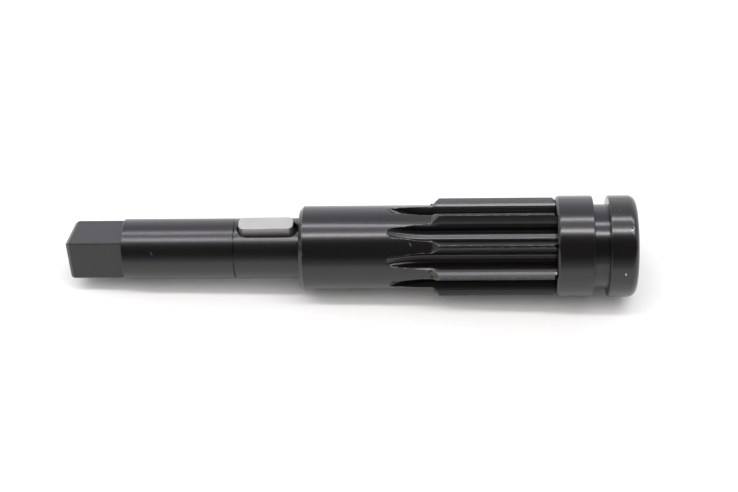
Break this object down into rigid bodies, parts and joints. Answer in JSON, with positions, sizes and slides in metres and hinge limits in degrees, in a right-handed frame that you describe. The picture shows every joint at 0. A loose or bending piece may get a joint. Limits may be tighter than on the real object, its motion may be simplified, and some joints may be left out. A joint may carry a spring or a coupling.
{
  "type": "gear shaft",
  "caption": "Black steel pinion shaft: square drive end, keyed journal, bearing seat, milled spur teeth with run-outs and a grooved end collar.",
  "frame": {"origin": "on the shaft's axis at half its length", "axes": "+X along the axis toward the collar, +Z square to the floor of the keyway, on the key's side"},
  "size_m": [0.1678, 0.03, 0.03],
  "materials": {
    "black_steel": "black oxide, oiled, satin",
    "bright_steel": "bright ground steel, dull"
  },
  "bodies": {
    "root": {"pinion_shaft": "black_steel", "drive_key": "bright_steel", "end_collar": "black_steel"}
  },
  "joints": []
}
